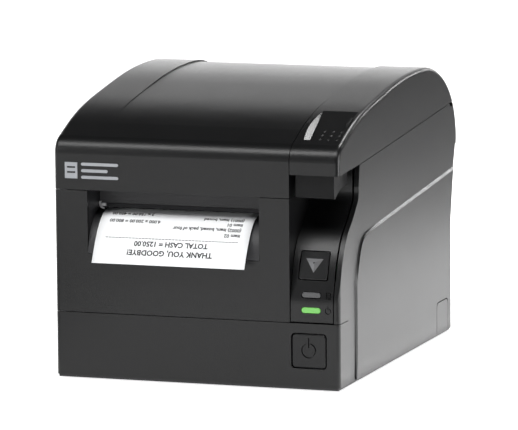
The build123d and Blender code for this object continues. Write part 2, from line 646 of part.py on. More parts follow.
with BuildPart() as status_lights:
    with BuildSketch(front_plane(LIGHT_BOARD_DEPTH)) as light_spots:
        with Locations((WINDOW_X, STATUS_HEIGHT), (WINDOW_X, POWER_HEIGHT)):
            Circle(1.5)
    extrude(light_spots.sketch, amount=6.5)
save(status_lights.part, "status_lights")

with BuildPart() as feed_switch:
    with BuildSketch(button_plane(-6.4)) as switch_body:
        Rectangle(6, 6)
    extrude(switch_body.sketch, amount=-3.2)
    with BuildSketch(button_plane(-5.6)) as plunger:
        Circle(1.6)
    extrude(plunger.sketch, amount=-1)
save(feed_switch.part, "feed_switch")

with BuildPart() as button_board:
    with BuildSketch(button_plane(-9.7)) as board_outline:
        Rectangle(16, 12)
    extrude(board_outline.sketch, amount=-1.5)
save(button_board.part, "button_board")

# ---------------------------------------------------------------- lower front panel and power button
POWER_X = 58.2
POWER_MID = 20.0
POWER_CAP = (17.2, 16.6)
RIM_ROUND = 0.4                # rounding of the edge round the power button
with BuildPart() as lower_front_panel:
    add(shell)
    block(-HALF - 1, HALF + 1, -1, PANEL_SEAM_LOW[0], 0, LOWER_SEAM - SEAM, Mode.INTERSECT)
    with BuildSketch(front_plane(-1)) as power_hole:
        with Locations((POWER_X, POWER_MID)):
            RectangleRounded(POWER_CAP[0] + 2 * BUTTON_GAP, POWER_CAP[1] + 2 * BUTTON_GAP, 2.0)
    extrude(power_hole.sketch, amount=-5, mode=Mode.SUBTRACT)
    power_rim = [edge for edge in lower_front_panel.edges()
                 if edge.center().Y < FRONT + 0.01
                 and abs(edge.center().X - POWER_X) < POWER_CAP[0] / 2 + 1
                 and abs(edge.center().Z - POWER_MID) < POWER_CAP[1] / 2 + 1]
    fillet(power_rim, radius=RIM_ROUND)
save(lower_front_panel.part, "lower_front_panel")

with BuildPart() as power_button:
    with BuildSketch(front_plane(-0.1)) as power_cap:
        with Locations((POWER_X, POWER_MID)):
            RectangleRounded(*POWER_CAP, 1.7)
    extrude(power_cap.sketch, amount=-4.4)
    chamfer(power_button.faces().sort_by(Axis.Y)[0].edges(), length=0.45)
    with BuildSketch(front_plane(WALL + 0.6)) as power_flange:
        with Locations((POWER_X, POWER_MID)):
            RectangleRounded(POWER_CAP[0] + 2.4, POWER_CAP[1] + 2.4, 1.5)
    extrude(power_flange.sketch, amount=-1.3)
    with BuildSketch(front_plane(MARK_DEPTH)) as power_mark:
        power_symbol(POWER_X, POWER_MID + 0.3, 3.8, 0.6)
    extrude(power_mark.sketch, amount=1, mode=Mode.SUBTRACT)
save(power_button.part, "power_button")

with BuildPart() as power_switch:
    block(POWER_X - 7, POWER_X + 7, 7.5, 19, POWER_MID - 6, POWER_MID + 6)
    with BuildSketch(front_plane(7.5)) as switch_plunger:
        with Locations((POWER_X, POWER_MID)):
            Rectangle(4, 4)
    extrude(switch_plunger.sketch, amount=1.4)
save(power_switch.part, "power_switch")

# ---------------------------------------------------------------- side panels with cable plugs
RETURN_X = 66.0                # the side panels turn this far round the rear corner
BORDER_STEP = 0.8              # the panel's border lies this much below its field
RIDGE_SLOPE = 60.0             # slope between border and field, degrees from the normal
PLUG_NEAR = 161.0
PLUG_FAR = 180.0
PLUG_TOP = 18.3
PLUG_ROUND = 3.0
PLUG_GAP = 0.5
FIELD_FRONT = 27.2
FIELD_BEND = [(30.4, 60.6), (45.2, 73.4)]
FIELD_REAR = (205, 86.8)


def plug_outline(gap):
    """The arched cable opening, drawn in the open BuildSketch and grown by a gap."""
    with Locations(((PLUG_NEAR + PLUG_FAR) / 2, PLUG_TOP / 2 - 5)):
        RectangleRounded(PLUG_FAR - PLUG_NEAR + 2 * gap, PLUG_TOP + 10 + 2 * gap, PLUG_ROUND)


with BuildPart() as right_side_panel:
    add(shell)
    with BuildSketch(side_plane(RETURN_X)) as panel_zone:
        with BuildLine():
            seam_low, seam_end = panel_seam_line(SEAM)
            Polyline(seam_end, (205, 0), (seam_low[0], 0), seam_low)
        make_face()
    extrude(panel_zone.sketch, amount=20, mode=Mode.INTERSECT)
    with BuildSketch(side_plane(HALF - BORDER_STEP)) as border:
        with BuildLine():
            Polyline((0, 0), (0, 120), (205, 120), FIELD_REAR, FIELD_BEND[-1])
            Spline(FIELD_BEND[-1], FIELD_BEND[0], (FIELD_FRONT, 48), tangents=[(-0.995, -0.1), (0, -1)])
            Polyline((FIELD_FRONT, 48), (FIELD_FRONT, 0), (0, 0))
        make_face()
    extrude(border.sketch, amount=BORDER_STEP + 0.1, taper=-RIDGE_SLOPE, mode=Mode.SUBTRACT)
    with BuildSketch(side_plane(RETURN_X + 2)) as plug_gap:
        plug_outline(PLUG_GAP)
    extrude(plug_gap.sketch, amount=20, mode=Mode.SUBTRACT)
save(right_side_panel.part, "right_side_panel")

with BuildPart() as left_side_panel:
    add(right_side_panel.part)
    mirror(about=Plane.YZ, mode=Mode.REPLACE)
save(left_side_panel.part, "left_side_panel")

with BuildPart() as cable_plugs:
    with BuildSketch(side_plane(HALF - WALL)) as plug_face:
        plug_outline(0)
        with Locations((PLUG_FAR - 9, -6)):
            Rectangle(40, 2 * (6 + PANEL_BOTTOM), mode=Mode.SUBTRACT)
    extrude(plug_face.sketch, amount=WALL)
    mirror(about=Plane.YZ)
save(cable_plugs.part, "cable_plugs")

# ---------------------------------------------------------------- connectors and rear panel
BAY_WALL = 1.8
PORT_BASE = BOARD_HEIGHT + 1.6
PORT_NEAR = 146.0
PORT_FAR = BAY_DEPTH + BAY_WALL + 1.2
# each port: left, right, top
PORTS = {
    "power_inlet": (-56.0, -42.0, PORT_BASE + 14.0),
    "usb_port": (2.0, 14.0, PORT_BASE + 11.0),
    "network_port": (20.0, 36.0, PORT_BASE + 13.5),
    "drawer_port": (42.0, 55.0, PORT_BASE + 12.5),
}
SERIAL_MID = -20.5
SERIAL_HEIGHT = PORT_BASE + 7.0

with BuildPart() as rear_panel:
    add(shell)
    with BuildSketch(side_plane(-RETURN_X + SEAM)) as rear_zone:
        with BuildLine():
            Polyline((150, 0), (205, 0), (205, PANEL_SEAM_END[1] - SEAM), (150, 93), close=True)
        make_face()
    extrude(rear_zone.sketch, amount=2 * (RETURN_X - SEAM), mode=Mode.INTERSECT)
    block(-58, 58, 180, 200, 5, 44, Mode.SUBTRACT)
    block(-70.5, 70.5, BAY_DEPTH, BAY_DEPTH + BAY_WALL, 4.2, BAY_TOP + BAY_WALL)
    block(-70.5, 70.5, BAY_DEPTH, 184.4, BAY_TOP, BAY_TOP + BAY_WALL)
    block(-60, 60, 183.5, 185.5, BAY_TOP, BAY_TOP + BAY_WALL)
    for port_left, port_right, port_top in PORTS.values():
        block(port_left - 0.2, port_right + 0.2, BAY_DEPTH - 1, BAY_DEPTH + 3, PORT_BASE - 0.2,
              port_top + 0.2,
              Mode.SUBTRACT)
    block(SERIAL_MID - 15.7, SERIAL_MID + 15.7, BAY_DEPTH - 1, BAY_DEPTH + 3, PORT_BASE - 0.2,
          SERIAL_HEIGHT + 6.5, Mode.SUBTRACT)
save(rear_panel.part, "rear_panel")

with BuildPart() as power_inlet:
    inlet_left, inlet_right, inlet_top = PORTS["power_inlet"]
    block(inlet_left, inlet_right, PORT_NEAR, PORT_FAR, PORT_BASE, inlet_top)
    with BuildSketch(front_plane(PORT_FAR)) as inlet_ring:
        with Locations(((inlet_left + inlet_right) / 2, (PORT_BASE + inlet_top) / 2)):
            Circle(5.0)
            Rectangle(4.6, 3.0, mode=Mode.SUBTRACT)
            with PolarLocations(3.2, 3, start_angle=90):
                Circle(0.9, mode=Mode.SUBTRACT)
    extrude(inlet_ring.sketch, amount=9, mode=Mode.SUBTRACT)
save(power_inlet.part, "power_inlet")

with BuildPart() as serial_port:
    block(SERIAL_MID - 15.5, SERIAL_MID + 15.5, PORT_FAR - 2.2, PORT_FAR - 1.2, PORT_BASE,
          SERIAL_HEIGHT + 6.2)
    block(SERIAL_MID - 10, SERIAL_MID + 10, PORT_NEAR, PORT_FAR - 2.2, PORT_BASE, SERIAL_HEIGHT + 5)
    with BuildSketch(front_plane(PORT_FAR - 1.2)) as d_shell:
        with BuildLine():
            Polyline((SERIAL_MID - 8.2, SERIAL_HEIGHT + 4), (SERIAL_MID + 8.2, SERIAL_HEIGHT + 4),
                     (SERIAL_MID + 6.8, SERIAL_HEIGHT - 4), (SERIAL_MID - 6.8,
                      SERIAL_HEIGHT - 4), close=True)
        make_face()
        fillet(d_shell.vertices(), radius=1.6)
    extrude(d_shell.sketch, amount=-5.5)
    with BuildSketch(front_plane(PORT_FAR + 4.3)) as sockets:
        with Locations((SERIAL_MID, SERIAL_HEIGHT + 1.4)):
            with GridLocations(2.75, 1, 5, 1):
                Circle(0.55)
        with Locations((SERIAL_MID, SERIAL_HEIGHT - 1.4)):
            with GridLocations(2.75, 1, 4, 1):
                Circle(0.55)
    extrude(sockets.sketch, amount=4, mode=Mode.SUBTRACT)
save(serial_port.part, "serial_port")


def socket(label, opening, height_above_base, deep, tongue=None):
    """A boxed socket with a rectangular mouth towards the rear, and a tongue inside where it has one."""
    left, right, top = PORTS[label]
    with BuildPart() as port:
        block(left, right, PORT_NEAR, PORT_FAR, PORT_BASE, top)
        with BuildSketch(front_plane(PORT_FAR)) as mouth:
            with Locations(((left + right) / 2, PORT_BASE + height_above_base)):
                Rectangle(*opening)
                if tongue:
                    Rectangle(*tongue, mode=Mode.SUBTRACT)
        extrude(mouth.sketch, amount=deep, mode=Mode.SUBTRACT)
    save(port.part, label)


socket("usb_port", (8.4, 7.6), 5.5, 8.5, (5.6, 3.2))
socket("network_port", (11.8, 8.2), 6.4, 10.5)
socket("drawer_port", (9.8, 7.0), 6.0, 10.0)

# ---------------------------------------------------------------- base, feet, boards
PILLARS = [(-50.0, 36.0), (-50.0, 62.0), (26.0, 36.0), (26.0, 62.0)]
CHASSIS_BASE = 56.0
FEET = [(-56.0, 18.0), (56.0, 18.0), (-56.0, 168.0), (56.0, 168.0)]
FOOT_RADIUS = 8.0
SCREWS = [(-40.0, 12.0), (40.0, 12.0), (-30.0, 151.0), (30.0, 151.0)]
BOARD_POSTS = [(-54.0, 78.0), (30.0, 78.0), (-54.0, 140.0), (56.0, 140.0)]

with BuildPart() as base_tray:
    block(-HALF + 1, HALF - 1, 1, BODY_DEPTH - 1, 0.8, PANEL_BOTTOM - 0.1)
    block(-HALF + WALL + 0.3, HALF - WALL - 0.3, WALL + 0.3, BODY_DEPTH - WALL - 0.3,
          PANEL_BOTTOM - 0.1, 4)
    for pillar_x, pillar_depth in PILLARS:
        stud(pillar_x, pillar_depth, 3.5, 4, CHASSIS_BASE)
    for post_x, post_depth in BOARD_POSTS:
        stud(post_x, post_depth, 3.2, 4, BOARD_HEIGHT)
        stud(post_x, post_depth, 1.3, BOARD_HEIGHT - 6, BOARD_HEIGHT, Mode.SUBTRACT)
    for foot_x, foot_depth in FEET:
        stud(foot_x, foot_depth, FOOT_RADIUS + 0.1, 0, 2.6, Mode.SUBTRACT)
    for screw_x, screw_depth in SCREWS:
        stud(screw_x, screw_depth, 4.0, 4, 11)
        stud(screw_x, screw_depth, 1.6, 0, 10, Mode.SUBTRACT)
        stud(screw_x, screw_depth, 3.2, 0, 2.6, Mode.SUBTRACT)
save(base_tray.part, "base_tray")

with BuildPart() as rubber_feet:
    for foot_x, foot_depth in FEET:
        stud(foot_x, foot_depth, FOOT_RADIUS, 0, 2.6)
    chamfer(rubber_feet.faces().sort_by(Axis.Z)[:len(FEET)].edges(), length=0.5)
save(rubber_feet.part, "rubber_feet")

with BuildPart() as case_screws:
    for screw_x, screw_depth in SCREWS:
        stud(screw_x, screw_depth, 3.0, 1.0, 2.6)
        stud(screw_x, screw_depth, 1.5, 2.6, 9.5)
        with BuildSketch(level_plane(1.0)) as cross:
            with Locations((screw_x, screw_depth)):
                Rectangle(3.2, 0.7)
                Rectangle(0.7, 3.2)
        extrude(cross.sketch, amount=0.8, mode=Mode.SUBTRACT)
save(case_screws.part, "case_screws")

with BuildPart() as main_board:
    block(-60, 36, 72, 157, BOARD_HEIGHT, PORT_BASE)
    block(36, 62, 100, 157, BOARD_HEIGHT, PORT_BASE)
    for post_x, post_depth in BOARD_POSTS:
        stud(post_x, post_depth, 1.6, BOARD_HEIGHT, PORT_BASE, Mode.SUBTRACT)
save(main_board.part, "main_board")

with BuildPart() as board_screws:
    for post_x, post_depth in BOARD_POSTS:
        stud(post_x, post_depth, 2.8, PORT_BASE, PORT_BASE + 1.8)
        stud(post_x, post_depth, 1.25, BOARD_HEIGHT - 5, PORT_BASE)
save(board_screws.part, "board_screws")

with BuildPart() as board_components:
    block(-20, -4, 108, 124, PORT_BASE, PORT_BASE + 2)
    block(6, 20, 112, 122, PORT_BASE, PORT_BASE + 1.5)
    block(-46, -34, 100, 112, PORT_BASE, PORT_BASE + 8)
    block(24, 34, 90, 96, PORT_BASE, PORT_BASE + 6)
    for capacitor_x, capacitor_depth in ((-42.0, 126.0), (-30.0, 130.0), (-44.0, 88.0)):
        stud(capacitor_x, capacitor_depth, 5, PORT_BASE, PORT_BASE + 18)
save(board_components.part, "board_components")

# ---------------------------------------------------------------- paper bucket, roll and paper
BUCKET_LEFT = -55.5
BUCKET_RIGHT = 31.5
BUCKET_HEIGHT = ROLL_OF_PAPER_HEIGHT + BUCKET_RADIUS - ROLL_OF_PAPER_RADIUS - 0.3
BUCKET_WALL = 2.0


def bucket_outline(radius, front_top, rear_top):
    """Half-round trough with straight walls, drawn in the open BuildLine."""
    near = ROLL_OF_PAPER_DEPTH - radius
    far = ROLL_OF_PAPER_DEPTH + radius
    CenterArc((ROLL_OF_PAPER_DEPTH, BUCKET_HEIGHT), radius, 180, 180)
    Polyline((near, BUCKET_HEIGHT), (near, front_top), (far, rear_top), (far, BUCKET_HEIGHT))


with BuildPart() as paper_bucket:
    with BuildSketch(side_plane(BUCKET_LEFT)) as bucket_outer:
        with BuildLine():
            bucket_outline(BUCKET_RADIUS + BUCKET_WALL, 92, 106)
        make_face()
    extrude(bucket_outer.sketch, amount=BUCKET_RIGHT - BUCKET_LEFT)
    with BuildSketch(side_plane(BUCKET_LEFT + BUCKET_WALL)) as bucket_inner:
        with BuildLine():
            bucket_outline(BUCKET_RADIUS, 130, 130)
        make_face()
    extrude(bucket_inner.sketch, amount=BUCKET_RIGHT - BUCKET_LEFT - 2 * BUCKET_WALL,
            mode=Mode.SUBTRACT)
save(paper_bucket.part, "paper_bucket")

paper_left = PAPER_MID - PAPER_WIDTH / 2
with BuildPart() as paper_roll:
    rod(ROLL_OF_PAPER_DEPTH, ROLL_OF_PAPER_HEIGHT, ROLL_OF_PAPER_RADIUS, paper_left, PAPER_WIDTH)
    rod(ROLL_OF_PAPER_DEPTH, ROLL_OF_PAPER_HEIGHT, CORE_RADIUS, paper_left, PAPER_WIDTH, Mode.SUBTRACT)
save(paper_roll.part, "paper_roll")

with BuildPart() as roll_core:
    rod(ROLL_OF_PAPER_DEPTH, ROLL_OF_PAPER_HEIGHT, CORE_RADIUS, paper_left, PAPER_WIDTH)
    rod(ROLL_OF_PAPER_DEPTH, ROLL_OF_PAPER_HEIGHT, CORE_RADIUS - 2, paper_left, PAPER_WIDTH,
        Mode.SUBTRACT)
save(roll_core.part, "roll_core")

web_reach = ROLL_OF_PAPER_DEPTH - WEB_BEND_DEPTH
web_angle = math.asin((ROLL_OF_PAPER_RADIUS + 0.4) / web_reach)
web_rise = web_reach * math.cos(web_angle)
web_end = (WEB_BEND_DEPTH + web_rise * math.cos(web_angle),
           PAPER_TOP - 0.1 + web_rise * math.sin(web_angle))
with BuildPart() as paper_web:
    with BuildSketch(side_plane(paper_left)) as web_side:
        with BuildLine() as web_line:
            Polyline((BLADE_DEPTH + 1.2, PAPER_TOP - 0.1), (WEB_BEND_DEPTH, PAPER_TOP - 0.1), web_end)
        trace(web_line.line, line_width=PAPER_THICK)
    extrude(web_side.sketch, amount=PAPER_WIDTH)
save(paper_web.part, "paper_web")

SLIP_CURL = [(10.2, 82.6), (4.2, 78.2), (-0.9, 71.8), (-4.7, 65.4)]
SLIP_END = (-PAPER_REACH + 0.1, 60.0)
with BuildPart() as printed_slip:
    with BuildSketch(side_plane(paper_left)) as slip_side:
        with BuildLine() as slip_line:
            Line((BLADE_DEPTH - 0.6, PAPER_TOP - 0.1), (SLOT_DEPTH + 1, PAPER_TOP - 0.1))
            Spline((SLOT_DEPTH + 1, PAPER_TOP - 0.1), *SLIP_CURL, SLIP_END,
                   tangents=[(-1, 0), (-0.45, -0.9)])
        trace(slip_line.line, line_width=PAPER_THICK)
    extrude(slip_side.sketch, amount=PAPER_WIDTH)
save(printed_slip.part, "printed_slip")

# ---------------------------------------------------------------- print mechanism
CHASSIS_LEFT = -56.2
CHASSIS_RIGHT = 31.6
CHASSIS_PLATE = 1.2
BUSH_RADIUS = 4.5
BUSH_LENGTH = 2.0


def gear_points(teeth, module, phase, backlash=0.28, addendum=0.85, dedendum=1.15):
    """Outline of an involute gear about its own centre, with one tooth at the phase angle."""
    pitch = teeth * module / 2
    base = pitch * math.cos(math.radians(20))
    tip = pitch + addendum * module
    root = pitch - dedendum * module
    involute_at = math.tan(math.radians(20)) - math.radians(20)
    half_tooth = math.pi / (2 * teeth) - backlash / (2 * pitch)
    flank = []
    for step in range(4):
        radius = max(base, root) + (tip - max(base, root)) * step / 3
        pressure = math.acos(min(1.0, base / radius))
        flank.append((radius, half_tooth + involute_at - (math.tan(pressure) - pressure)))
    points = []
    for tooth in range(teeth):
        middle = math.radians(phase) + 2 * math.pi * tooth / teeth
        sides = [(root, flank[0][1])] + flank
        for radius, half_angle in sides:
            points.append((radius * math.cos(middle - half_angle), radius * math.sin(middle - half_angle)))
        for radius, half_angle in reversed(sides):
            points.append((radius * math.cos(middle + half_angle), radius * math.sin(middle + half_angle)))
    return points


def gear(plane, teeth, module, thick, phase, bore):
    """A spur gear standing on a plane, about the plane's origin."""
    with BuildSketch(plane) as profile:
        with BuildLine():
            Polyline(*gear_points(teeth, module, phase), close=True)
        make_face()
        Circle(bore, mode=Mode.SUBTRACT)
    extrude(profile.sketch, amount=thick)


def gear_plane(centre):
    """Plane of the feed gears with its origin on a gear's axis."""
    return Plane(origin=(GEAR_PLANE, FRONT + centre[0], centre[1]), x_dir=(0, 1, 0), z_dir=(1, 0, 0))


def polar_step(centre, distance, direction):
    """A point at a distance and direction from another."""
    angle = math.radians(direction)
    return centre[0] + distance * math.cos(angle), centre[1] + distance * math.sin(angle)


platen_axis = (PLATEN_DEPTH, PLATEN_HEIGHT)
idler_axis = polar_step(platen_axis, (PLATEN_TEETH + IDLER_TEETH) * GEAR_MODULE / 2, IDLER_DIRECTION)
motor_axis = polar_step(idler_axis, (IDLER_TEETH + MOTOR_TEETH) * GEAR_MODULE / 2, MOTOR_DIRECTION)
idler_phase = IDLER_DIRECTION + 180 + 180 / IDLER_TEETH
tooth_offset = (idler_phase - MOTOR_DIRECTION) % (360 / IDLER_TEETH)
motor_phase = MOTOR_DIRECTION + 180 + 180 / MOTOR_TEETH - tooth_offset * IDLER_TEETH / MOTOR_TEETH
IDLER_POST_RADIUS = 2.0
MOTOR_SHAFT_RADIUS = 1.5

with BuildPart() as mechanism_chassis:
    block(CHASSIS_LEFT, CHASSIS_RIGHT + CHASSIS_PLATE, 32, 68, CHASSIS_BASE,
          CHASSIS_BASE + CHASSIS_PLATE)
    for plate_left in (CHASSIS_LEFT, CHASSIS_RIGHT):
        slab([(33, CHASSIS_BASE), (68, CHASSIS_BASE), (68, 66), (52, 82.4),
              (33, 82.4)], plate_left, CHASSIS_PLATE)
        rod(PLATEN_DEPTH, PLATEN_HEIGHT, BUSH_RADIUS, plate_left - 1, CHASSIS_PLATE + 2, Mode.SUBTRACT)
    rod(*idler_axis, IDLER_POST_RADIUS, CHASSIS_RIGHT + CHASSIS_PLATE, 6.7)
    rod(*idler_axis, 3.2, GEAR_PLANE + GEAR_FACE + 0.3, 0.6)
    rod(*idler_axis, 3.2, CHASSIS_RIGHT + CHASSIS_PLATE, 1.3)
save(mechanism_chassis.part, "mechanism_chassis")

with BuildPart() as platen_bearings:
    for plate_left in (CHASSIS_LEFT, CHASSIS_RIGHT):
        rod(PLATEN_DEPTH, PLATEN_HEIGHT, BUSH_RADIUS, plate_left - 0.4, BUSH_LENGTH)
        rod(PLATEN_DEPTH, PLATEN_HEIGHT, SHAFT_RADIUS + RUNNING_FIT, plate_left - 1, BUSH_LENGTH + 2,
            Mode.SUBTRACT)
save(platen_bearings.part, "platen_bearings")

ROLLER_LEFT = -53.2
ROLLER_RIGHT = 29.8
with BuildPart() as platen_roller:
    rod(PLATEN_DEPTH, PLATEN_HEIGHT, PLATEN_RADIUS, ROLLER_LEFT, ROLLER_RIGHT - ROLLER_LEFT)
    rod(PLATEN_DEPTH, PLATEN_HEIGHT, SHAFT_RADIUS, ROLLER_LEFT, ROLLER_RIGHT - ROLLER_LEFT,
        Mode.SUBTRACT)
save(platen_roller.part, "platen_roller")

with BuildPart() as platen_shaft:
    rod(PLATEN_DEPTH, PLATEN_HEIGHT, SHAFT_RADIUS, -57.2, GEAR_PLANE + GEAR_FACE + 0.6 + 57.2)
save(platen_shaft.part, "platen_shaft")

with BuildPart() as platen_gear:
    gear(gear_plane(platen_axis), PLATEN_TEETH, GEAR_MODULE, GEAR_FACE, IDLER_DIRECTION, SHAFT_RADIUS)
save(platen_gear.part, "platen_gear")

with BuildPart() as idler_gear:
    gear(gear_plane(idler_axis), IDLER_TEETH, GEAR_MODULE, GEAR_FACE, idler_phase,
         IDLER_POST_RADIUS + RUNNING_FIT)
save(idler_gear.part, "idler_gear")

with BuildPart() as motor_pinion:
    gear(gear_plane(motor_axis), MOTOR_TEETH, GEAR_MODULE, GEAR_FACE, motor_phase, 1.0)
    rod(*motor_axis, MOTOR_SHAFT_RADIUS, GEAR_PLANE - 0.6, 15)
save(motor_pinion.part, "motor_pinion")

MOTOR_LEFT = 41.0
MOTOR_SIZE = 35.0
with BuildPart() as feed_motor:
    with BuildSketch(side_plane(MOTOR_LEFT)) as motor_outline:
        with Locations(motor_axis):
            RectangleRounded(MOTOR_SIZE, MOTOR_SIZE, 4)
            Circle(MOTOR_SHAFT_RADIUS + RUNNING_FIT, mode=Mode.SUBTRACT)
    extrude(motor_outline.sketch, amount=21)
save(feed_motor.part, "feed_motor")

with BuildPart() as motor_bracket:
    motor_near = motor_axis[0] - MOTOR_SIZE / 2
    motor_far = motor_axis[0] + MOTOR_SIZE / 2
    slab([(motor_near, 4), (motor_far, 4), (motor_far, 70), (motor_near, 70)], MOTOR_LEFT - 1.4, 1.4)
    block(MOTOR_LEFT - 1.4, MOTOR_LEFT + 12, motor_near, motor_far, 4, 5.4)
    rod(*motor_axis, 4, MOTOR_LEFT - 2, 3, Mode.SUBTRACT)
save(motor_bracket.part, "motor_bracket")

# ---------------------------------------------------------------- cutter
CUTTER_PITCH = CUTTER_TEETH * CUTTER_MODULE / 2
RACK_TEETH = 8
cutter_axis_x = BLADE_LEFT - CUTTER_PITCH
rack_pitch = math.pi * CUTTER_MODULE
rack_gap_height = CUTTER_PINION_HEIGHT

with BuildPart() as cutter_base:
    block(-53.4, 30, 23, BLADE_DEPTH - 0.3, 60, 83.2)
save(cutter_base.part, "cutter_base")

with BuildPart() as moving_blade:
    with BuildSketch(front_plane(BLADE_DEPTH + BLADE_THICK)) as blade:
        with BuildLine():
            Polyline((BLADE_LEFT + 1, 60), (BLADE_LEFT + 1, BLADE_TOP), (PAPER_MID, BLADE_TOP - 1.6),
                     (30.5, BLADE_TOP), (30.5, 60), close=True)
        make_face()
        with BuildLine():
            depth_in = math.tan(math.radians(20)) * CUTTER_MODULE
            for tooth in range(RACK_TEETH):
                middle = rack_gap_height + (tooth - (RACK_TEETH - 1) / 2) * rack_pitch
                foot = rack_pitch / 4 - 0.1 + depth_in * 0.9
                tip = rack_pitch / 4 - 0.1 - depth_in * 0.7
                Polyline((BLADE_LEFT + 1.2, middle - foot), (BLADE_LEFT - 0.6, middle - tip),
                         (BLADE_LEFT - 0.6, middle + tip), (BLADE_LEFT + 1.2,
                          middle + foot), close=True)
        make_face()
    extrude(blade.sketch, amount=BLADE_THICK)
save(moving_blade.part, "moving_blade")

CUTTER_SHAFT_RADIUS = 1.0
with BuildPart() as cutter_pinion:
    pinion_plane = Plane(origin=(cutter_axis_x, FRONT + 30, CUTTER_PINION_HEIGHT), x_dir=(1, 0, 0),
                         z_dir=(0, -1, 0))
    gear(pinion_plane, CUTTER_TEETH, CUTTER_MODULE, 3, 0, 0.6)
    with BuildSketch(front_plane(36)) as cutter_shaft:
        with Locations((cutter_axis_x, CUTTER_PINION_HEIGHT)):
            Circle(CUTTER_SHAFT_RADIUS)
    extrude(cutter_shaft.sketch, amount=9.5)
save(cutter_pinion.part, "cutter_pinion")

with BuildPart() as cutter_motor:
    with BuildSketch(front_plane(54)) as cutter_motor_outline:
        with Locations((cutter_axis_x, CUTTER_PINION_HEIGHT)):
            Circle(4.5)
    extrude(cutter_motor_outline.sketch, amount=22)
    with BuildSketch(front_plane(37)) as cutter_motor_bore:
        with Locations((cutter_axis_x, CUTTER_PINION_HEIGHT)):
            Circle(CUTTER_SHAFT_RADIUS + RUNNING_FIT)
    extrude(cutter_motor_bore.sketch, amount=6, mode=Mode.SUBTRACT)
save(cutter_motor.part, "cutter_motor")
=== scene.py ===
"""Front-exit receipt printer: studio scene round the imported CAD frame."""
import json
import math

import bpy
from mathutils import Matrix, Vector


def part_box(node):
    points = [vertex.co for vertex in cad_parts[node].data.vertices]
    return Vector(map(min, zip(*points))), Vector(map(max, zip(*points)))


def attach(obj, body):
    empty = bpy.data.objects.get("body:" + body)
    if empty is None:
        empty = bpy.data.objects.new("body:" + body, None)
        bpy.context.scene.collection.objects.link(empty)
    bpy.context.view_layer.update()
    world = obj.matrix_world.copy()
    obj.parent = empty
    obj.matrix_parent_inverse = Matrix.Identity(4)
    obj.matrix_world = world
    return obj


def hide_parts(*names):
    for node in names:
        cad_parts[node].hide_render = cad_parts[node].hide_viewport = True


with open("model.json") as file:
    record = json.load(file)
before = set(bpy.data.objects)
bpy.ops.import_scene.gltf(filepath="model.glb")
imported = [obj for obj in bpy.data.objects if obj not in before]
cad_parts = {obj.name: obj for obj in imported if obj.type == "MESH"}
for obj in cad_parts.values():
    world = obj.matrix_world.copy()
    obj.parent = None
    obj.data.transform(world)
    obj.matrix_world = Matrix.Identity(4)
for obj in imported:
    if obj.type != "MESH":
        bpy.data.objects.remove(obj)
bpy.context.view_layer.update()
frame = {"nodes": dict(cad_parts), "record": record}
nodes = frame["nodes"]
MM = 0.001


# ------------------------------------------------------------------ camera
AZIMUTH = math.radians(19.189)
ELEVATION = math.radians(8.513)
ROLL = math.radians(-0.4706)
FOCAL_PIXELS = 5000.0
IMAGE_WIDTH = 518.0
SENSOR = 36.0
FAR_CLIP = 20
SIDE_STEP = -30.55             # where the front face's foot lies from the line of sight, mm
RISE_STEP = -83.86
DISTANCE = 2459.3


def make_camera():
    """A long lens from the right front, a little above the printer."""
    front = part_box("lower_front_panel")[0][1]
    right = Vector((math.cos(AZIMUTH), math.sin(AZIMUTH), 0))
    ahead = Vector((-math.sin(AZIMUTH) * math.cos(ELEVATION), math.cos(AZIMUTH) * math.cos(ELEVATION),
                    -math.sin(ELEVATION)))
    up = right.cross(ahead)
    tilted_right = math.cos(ROLL) * right + math.sin(ROLL) * up
    tilted_up = -math.sin(ROLL) * right + math.cos(ROLL) * up
    place = -SIDE_STEP * tilted_right - RISE_STEP * tilted_up - DISTANCE * ahead
    data = bpy.data.cameras.new("camera")
    data.sensor_width = SENSOR
    data.lens = FOCAL_PIXELS / IMAGE_WIDTH * SENSOR
    data.clip_end = FAR_CLIP
    camera = bpy.data.objects.new("camera", data)
    bpy.context.scene.collection.objects.link(camera)
    turn = Matrix((tilted_right, tilted_up, -ahead)).transposed().to_4x4()
    camera.matrix_world = Matrix.Translation(place * MM + Vector((0, front, 0))) @ turn
    bpy.context.scene.camera = camera


# ------------------------------------------------------------------ light, floor, world
DARK_STUDIO = 0.03             # brightness of the unlit studio
BACKDROP = 3.6                 # brightness of the backdrop low behind the printer
BACKDROP_REAR = (-0.2, 0.7)    # Y of the direction over which the backdrop comes up
BACKDROP_SIDE = (-0.05, 0.2)   # X of the direction over which it fades out to the right
BACKDROP_RISE = (0.12, 0.5)    # Z of the direction over which it fades out upwards
FLOOR_GLOW = 0.8
FLOOR_REACH = 6
BOUNCE_GLOW = 1.5
CARD_EDGE = 0.22               # from here on to the right the floor's reflection is dark, m
LIGHTS = [
    # name, place, target, size, power: metres and watts
    ("front_overhead", (0.0, -0.85, 1.2), (0, -0.08, 0.1), (1.8, 0.4), 21),
    ("rear_rim", (0.36, 0.78, 1.2), (0.06, -0.08, 0.12), (0.34, 0.34), 9),
    ("right_low", (1.5, 0.1, 0.30), (0, 0, 0.03), (0.9, 0.4), 6),
    ("ridge_rim", (0.74, 1.9, 0.56), (0.07, 0, 0.08), (0.3, 0.3), 5),
    ("ridge_low", (0.75, 0.03, 0.07), (0.07, -0.05, 0.05), (0.5, 0.12), 1.5),
    ("left_front", (-0.9, -1.1, 0.5), (0, -0.09, 0.08), (0.4, 0.4), 3),
]


def area_light(name, place, target, size, power):
    """A rectangular soft light at a place, turned to a target."""
    data = bpy.data.lights.new(name, "AREA")
    data.shape = "RECTANGLE"
    data.size, data.size_y = size
    data.energy = power
    light = bpy.data.objects.new(name, data)
    light.location = place
    light.rotation_euler = (Vector(target) - Vector(place)).to_track_quat("-Z", "Y").to_euler()
    bpy.context.scene.collection.objects.link(light)


